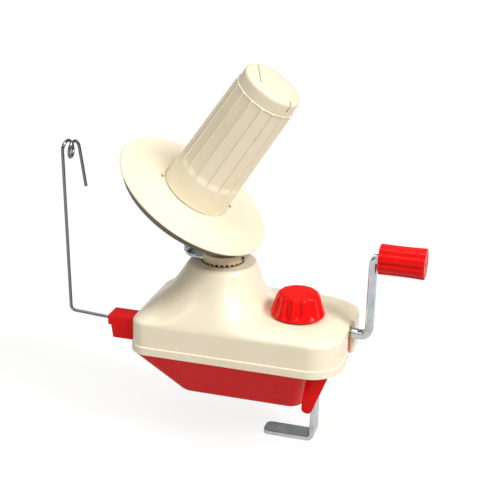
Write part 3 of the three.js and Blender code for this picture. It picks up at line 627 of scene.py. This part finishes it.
# ---- Screws and nuts ----
# Zinc-plated pan-head screws hold the casing, the drum and the bobbin together, and two
# thin hexagon nuts end the post and the bobbin's axle.

zinc = metal("zinc_plate", tint(212, 217, 222), tint(186, 193, 200), 0.17, (1, 26, 26))
bodies = frame["record"]["behaviour"]["bodies"]
for body, nodes in bodies.items():
    for node in nodes:
        if "screw_" in node or node in ("post_nut", "axle_nut", "knob_washer"):
            smoothed(node, body, "zinc_steel", zinc, bevel=0.15)
for node in ("bobbin_axle", "axle_clip", "gear_collar", "collar_screw", "crank_clip", "stud_clip"):
    frame["nodes"][node].data.materials.clear()
    frame["nodes"][node].data.materials.append(steel.material)
for node in ("crank_bush_inner", "crank_bush_outer", "bobbin_hub"):
    frame["nodes"][node].data.materials.clear()
    frame["nodes"][node].data.materials.append(brass.material)

# ---- Turntable drum ----
# A beige-brown moulded cap on the sleeve, with a row of small notches round its foot and
# a bright pin in its side. It turns with the bobbin's bracket.

turntable_place = Matrix.Rotation(math.radians(-6.1), 4, "Z")
# The drum's own beige-brown, made lighter as painted light that makes up for the flange's shade over
# it.
beige = moulded("beige_lightened_moulding", tint(248, 228, 192), tint(238, 214, 176), 0.3)
DRUM_LOW, DRUM_HIGH, DRUM_RADIUS = 101, 108, 15.5
NOTCHES = 24
notch_steps = (0, 0.03, 0.3, 0.57, 0.6, 0.8)
drum_turns = [2 * math.pi * (k + step) / NOTCHES for k in range(NOTCHES) for step in notch_steps]
drum_feet = [DRUM_LOW + (1.25 if 0 < step < 0.6 else 0) for _ in range(NOTCHES)
             for step in notch_steps]
drum_rows = []
for radius, z in ((4.2, 105.6), (13.3, 105.6), (13.3, None), (15.5, None), (15.5, 102.9),
                  (15.5, 107), (15.35, 107.5), (15, 107.9), (14.6, DRUM_HIGH), (13.8, DRUM_HIGH),
                  (13.3, 107.8), (13.1, 107.4), (12, 107.3), (4.2, 107.3)):
    drum_rows.append([
        Vector((radius * math.cos(t), radius * math.sin(t), foot if z is None else z))
        for t, foot in zip(drum_turns, drum_feet)])
drum = made(drawn(drum_rows, closed=True), "drum_cap", turntable_place)
dressed(drum, "turntable", "beige_plastic", beige, "turntable_drum", sharp=30)


def turned(outline, steps=96):
    """A ring or cap spun about Z. The outline's corners are radius, height and rounding."""
    bm = bmesh.new()
    corners = [bm.verts.new((r, 0, z)) for r, z, _ in outline]
    bm.faces.new(corners)
    for rounding in sorted({soft for _, _, soft in outline if soft}):
        geom = [v for v, (_, _, soft) in zip(corners, outline) if soft == rounding]
        bmesh.ops.bevel(bm, geom=geom, offset=rounding, offset_type="OFFSET", segments=5,
                        profile=0.5, affect="VERTICES", material=-1)
    bmesh.ops.delete(bm, geom=bm.faces[:], context="FACES_ONLY")
    bmesh.ops.spin(bm, geom=bm.verts[:] + bm.edges[:], cent=(0, 0, 0), axis=(0, 0, 1),
                   angle=2 * math.pi, steps=steps, use_merge=True)
    bmesh.ops.remove_doubles(bm, verts=bm.verts, dist=1e-4)
    return bm


pin_place = turntable_place @ Matrix.Translation((DRUM_RADIUS, 0, DRUM_HIGH - 3.7)) \
    @ Matrix.Rotation(math.pi / 2, 4, "Y")
pin = made(turned([(0, -1.5, 0), (1.1, -1.5, 0), (1.1, 0.35, 0), (1.6, 0.35, 0.2),
                   (1.6, 1.8, 0.7), (0, 1.8, 0)], 32), "drum_pin_head", pin_place)
dressed(pin, "turntable", "chrome_wire", chrome, "drum_pin")

# ---- Bobbin bracket ----
# A strap of zinc-plated steel, bent up beside the drum to carry the bobbin's leaning
# axle. Its floor is screwed under the drum.

smoothed("bobbin_bracket", "turntable", "zinc_steel", zinc, bevel=0.25, sharp=40)

# ---- Bobbin flange ----
# The wide cream saucer that the yarn ball rests on, a shallow cone with a rolled rim, and
# the dish with a tapered skirt under it, dark with painted shade. Two lock holes go through
# the saucer, and two shallow crescents are sunk beside the tube's foot.

TILT, APEX = math.radians(34.2), 185.9
bobbin_place = turntable_place @ Matrix.Translation((0, 0, APEX)) @ Matrix.Rotation(TILT, 4, "Y")
flange = made(turned([
    (5.7, -41.8, 0), (33, -41.8, 1), (61.3, -44.85, 0.3), (63.2, -44.9, 0.35), (63.2, -44.1, 0.3),
    (62.6, -43.4, 0.35), (43, -41.35, 2), (41.6, -40.95, 0.8), (34.6, -40.3, 2), (5.7, -40.3, 0),
], 160), "flange_saucer", bobbin_place)
dish = made(turned([
    (5.7, -43.6, 0), (33, -43.6, 2), (59.2, -46.6, 1), (54.3, -52.3, 0.5), (56.5, -52.3, 0.5),
    (61.9, -45.25, 0.4), (33, -42.1, 1), (5.7, -42.1, 0),
], 160), "flange_dish", bobbin_place)
# The dish wears the painted shade finish, darker than the beige of its slot.
dressed(dish, "bobbin", "beige_plastic", dark, "bobbin_dish")
LOCK_TURNS, LOCK_RADIUS, LOCK_SIZE = (-2.56, 0.58), 29.2, 2.6
GROOVE_RADIUS, GROOVE_SHIFT, GROOVE_TURN = 26.6, 1.5, 0.45
for side in LOCK_TURNS:
    hole = bmesh.new()
    bmesh.ops.create_cone(
        hole, cap_ends=True, segments=3, radius1=LOCK_SIZE, radius2=LOCK_SIZE, depth=12)
    carved(flange, made(hole, "hole_tool", bobbin_place @ Matrix.Rotation(side, 4, "Z")
                        @ Matrix.Translation((LOCK_RADIUS, 0, -41))
                        @ Matrix.Rotation(math.pi / 2, 4, "Z")))
    groove = bmesh.new()
    bmesh.ops.create_cone(groove, cap_ends=True, segments=96, radius1=GROOVE_RADIUS,
                          radius2=GROOVE_RADIUS, depth=3)
    carved(flange, made(groove, "groove_tool",
                        bobbin_place @ Matrix.Rotation(side + GROOVE_TURN, 4, "Z")
                        @ Matrix.Translation((GROOVE_SHIFT, 0, -39.5))))
dressed(flange, "bobbin", "cream_plastic", cream, "bobbin_flange")

# ---- Bobbin tube ----
# The hollow tube that the ball is wound on, moulded with sixteen thin ribs between flat
# panels, a plain band and a domed end with two yarn slits, and a foot that locks down.

TUBE_BASE, BASE_RADIUS, RIB_TOP, RIB_RADIUS = -40, 26.4, 55, 24.2
BAND_RADIUS, SHOULDER, TUBE_END = 22.9, 64.2, 67.2
RIBS, PANEL_DEPTH = 16, 1.45
tube_steps = (0, 0.035, 0.075, 0.2, 0.35, 0.5, 0.65, 0.8, 0.925, 0.965)
tube_turns = [2 * math.pi * (k + step) / RIBS + 0.35 for k in range(RIBS) for step in tube_steps]


def rib_radius(s):
    share = (s - TUBE_BASE) / (RIB_TOP - TUBE_BASE)
    return BASE_RADIUS + (RIB_RADIUS - BASE_RADIUS) * share


def tube_ring(s, depth=0.0, radius=None):
    """One level of the tube, whose panels are flat between the ribs to the given depth."""
    points = []
    for turn_angle, step in zip(tube_turns, list(tube_steps) * RIBS):
        reach_out = rib_radius(s) if radius is None else radius
        if depth and 0.06 < step < 0.94:
            flat = (rib_radius(s) - PANEL_DEPTH) / math.cos((step - 0.5) * 2 * math.pi / RIBS)
            reach_out += (flat - reach_out) * depth
        points.append(
            Vector((reach_out * math.cos(turn_angle), reach_out * math.sin(turn_angle), s)))
    return points


tube_rows = [tube_ring(TUBE_BASE, radius=26.9), tube_ring(-39.4, radius=26.75),
             tube_ring(-38, radius=26.45), tube_ring(-36), tube_ring(-26)]
for share in (0, 0.12, 0.25, 0.4, 0.55, 0.7, 0.85, 1):
    tube_rows.append(tube_ring(-20.5 + 6 * share, share * share * (3 - 2 * share)))
tube_rows += [tube_ring(s, 1) for s in (0, 18, 36, 52, RIB_TOP - 1)]
tube_rows += [tube_ring(RIB_TOP - 0.7, 0.97), tube_ring(RIB_TOP - 0.45, 0.7)]
tube_rows += [tube_ring(s, radius=r) for s, r in (
    (RIB_TOP + 0.1, 23.4), (RIB_TOP + 0.5, 23.0), (RIB_TOP + 1, BAND_RADIUS), (60, BAND_RADIUS),
    (SHOULDER - 1, BAND_RADIUS), (SHOULDER, 22.8), (64.9, 22.5), (65.5, 22), (65.95, 21.3),
    (66.25, 20.4), (66.45, 19), (66.7, 16), (66.95, 12), (67.12, 8), (TUBE_END, 4), (TUBE_END, 0.3),
    (64.2, 0.3), (SHOULDER, 14), (SHOULDER - 0.4, 18.6), (SHOULDER - 1.4, 19.7), (60, 19.9),
    (20, 21.2), (-35, 23.2), (-37, 22.4), (-37, 5.7), (TUBE_BASE, 5.7))]
tube = made(drawn(tube_rows, closed=True), "ribbed_tube", bobbin_place)
SLIT_TURN, SLIT_HALF = -1.018, 0.4
for half_turn, length in ((0, 29), (math.pi, 5)):
    slit = slab([(-4, SHOULDER - 5.5), (length, SHOULDER - 5.5), (length, 70), (-4, 70)],
                -SLIT_HALF, SLIT_HALF)
    slit_place = Matrix.Rotation(half_turn, 4, "Z") @ Matrix.Translation((-20.7, 10.1, 0))
    carved(tube, made(slit, "slit_tool", bobbin_place @ slit_place
                      @ Matrix.Rotation(SLIT_TURN, 4, "Z")))
dressed(tube, "bobbin", "cream_plastic", cream, "bobbin_tube", sharp=28)
smoothed("bobbin_gear", "bobbin", "nylon", nylon)

# ---- Crank ----
# One zinc-plated bar, bent up and out again, with round journals turned on its ends. The
# shaft end carries the nylon drive gear inside the casing.

BAR_WIDE, BAR_THICK, BAR_X, THROW = 8.6, 5.8, 115.2, 62.2
GRIP_START, GRIP_END = 119.6, 153.6
crank_place = Matrix.Translation((0, 0, CRANK_HEIGHT))
crank_section = rounded_rectangle(
    -BAR_WIDE / 2, BAR_WIDE / 2, -BAR_THICK / 2, BAR_THICK / 2, 1.7, 5)
crank_path = rounded_path([
    (Vector((102.2, 0, 0)), 0), (Vector((BAR_X, 0, 0)), 6), (Vector((BAR_X, 0, THROW)), 3.8),
    (Vector((GRIP_START - 0.4, 0, THROW)), 0)], 12)
crank = made(bar(crank_path, crank_section, Vector((0, 1, 0)), {0: 0.9, -1: 0.9}),
             "crank_bar", crank_place)
dressed(crank, "crank", "zinc_steel", zinc, "crank_arm", sharp=50)


def journal(name, radius, x0, x1, height):
    place = Matrix.Translation((x0, 0, height)) @ Matrix.Rotation(math.pi / 2, 4, "Y")
    length = x1 - x0
    shape = turned([(0, 0, 0), (radius, 0, 0.4), (radius, length, 0.4), (0, length, 0)], 48)
    dressed(made(shape, name, place), "crank", "zinc_steel", zinc)


journal("crank_shaft", 3.2, 8.6, 106, CRANK_HEIGHT)
journal("crank_stub", 4.1, 102, 107, CRANK_HEIGHT)
journal("grip_spindle", 3.2, BAR_X, GRIP_END - 2.6, CRANK_HEIGHT + THROW)
frame["nodes"]["drive_gear"].data.materials.clear()
frame["nodes"]["drive_gear"].data.materials.append(nylon.material)

# ---- Crank grip ----
# A red moulded grip with eight rounded lobes and a slightly flared end. It spins freely
# on the crank's end.

LOBES = 8
grip_turns = [2 * math.pi * k / (LOBES * 12) for k in range(LOBES * 12)]
grip_rows = []
grip_profile = [
    (3.6, 0, 0), (9.4, 0, 0), (10.9, 0, 0.95), (11.2, 0.1, 1), (11.4, 0.35, 1), (11.4, 0.9, 1),
    (11.3, 4, 1), (11.2, 14, 1), (11.3, 24, 1), (11.55, 31, 1), (11.6, 33.1, 1),
    (11.6, 33.6, 1), (11.4, 33.9, 1), (11, 34, 0.9), (9.2, 34, 0.4), (8.8, 33.7, 0), (2, 33.6, 0),
]
for radius, along, lobe in grip_profile:
    row = []
    for t in grip_turns:
        crest = abs(math.sin(LOBES * t / 2))
        r = radius - lobe * 1.35 * (1 - crest) ** 2
        row.append(Vector((GRIP_START + along, r * math.sin(t), r * math.cos(t) + THROW)))
    grip_rows.append(row)
for radius, along in ((3.5, 32.3), (3.5, 0.4)):
    grip_rows.append([Vector((GRIP_START + along, radius * math.sin(t), radius * math.cos(t) + THROW))
                      for t in grip_turns])
grip = made(drawn(grip_rows, closed=True), "lobed_grip", crank_place)
dressed(grip, "grip", "red_plastic", red, "crank_grip", sharp=55)

# ---- Clamp knob ----
# The red fluted knob that tightens the clamp, moulded on the head of its stud.

KNOB_X, KNOB_Y, KNOB_BASE = 61.3, -6.5, 68
FLUTES = 12
knob_turns = [2 * math.pi * k / (FLUTES * 12) for k in range(FLUTES * 12)]
knob_profile = [
    (18, 0.9, 0), (18.6, 0.1, 0), (20, 0, 0), (20.45, 0.25, 0), (20.6, 0.7, 0), (20.55, 1.4, 0.1),
    (20.2, 2.4, 0.6), (19.6, 4.4, 1), (18.9, 6.8, 1.1), (18.1, 9.5, 1.15), (17.3, 12, 1.1),
    (16.75, 13.8, 0.95), (16.3, 14.9, 0.7), (15.7, 15.8, 0.45), (14.9, 16.6, 0.25),
    (13.9, 17.2, 0.1), (12.6, 17.6, 0), (11, 17.8, 0), (6, 17.8, 0), (1.5, 17.75, 0),
]
knob_rows = []
for radius, z, flute in knob_profile:
    knob_rows.append([])
    for t in knob_turns:
        r = radius - flute * 0.8 * (1 - math.cos(FLUTES * t))
        knob_rows[-1].append(
            Vector((KNOB_X + r * math.cos(t), KNOB_Y + r * math.sin(t), KNOB_BASE + z)))
knob = made(drawn(knob_rows), "fluted_knob")
dressed(knob, "clamp_screw", "red_plastic", red, "clamp_knob", sharp=50)
smoothed("clamp_stud", "clamp_screw", "zinc_steel", zinc)

# ---- Clamp hook ----
# A bent strip of zinc-plated steel whose foot grips the table from below. The stud
# raises it through the tray.

FOOT_END = 37
foot_middle, leg_middle = -35.3 - HOOK_THICK / 2, 23.5 - HOOK_THICK / 2
hook_corners = [
    (Vector((FOOT_END, 0, foot_middle)), 0), (Vector((HOOK_X, 0, foot_middle)), 4.4),
    (Vector((HOOK_X, 0, leg_middle)), 4.4), (Vector((KNOB_X, 0, leg_middle)), 0)]
hook_path = rounded_path(hook_corners, 12)
toe = HOOK_WIDE / 2
TOE_CORNER = 4.5
toe_path = [Vector((FOOT_END + TOE_CORNER * (1 - math.cos(t)), 0, foot_middle))
            for t in (math.pi / 2 * k / 10 for k in range(10))]
hook_rows = []
across_bar = Vector((0, 1, 0))
full_path = [*toe_path, *hook_path[1:]]
section = rounded_rectangle(-toe, toe, -HOOK_THICK / 2, HOOK_THICK / 2, 0.6, 4)
for k, point in enumerate(full_path):
    forward = (full_path[min(k + 1, len(full_path) - 1)] - full_path[max(k - 1, 0)]).normalized()
    up = forward.cross(across_bar)
    inset = 1 - (point.x - FOOT_END) / TOE_CORNER if k < len(toe_path) else 0
    share = 1 - TOE_CORNER / toe * (1 - math.sqrt(max(1 - inset**2, 0)))
    hook_rows.append([point + across_bar * (a * share) + up * b for a, b in section])
hook = made(drawn(hook_rows), "hook_strip")
dressed(hook, "clamp_jaw", "zinc_steel", zinc, "clamp_hook", sharp=50)
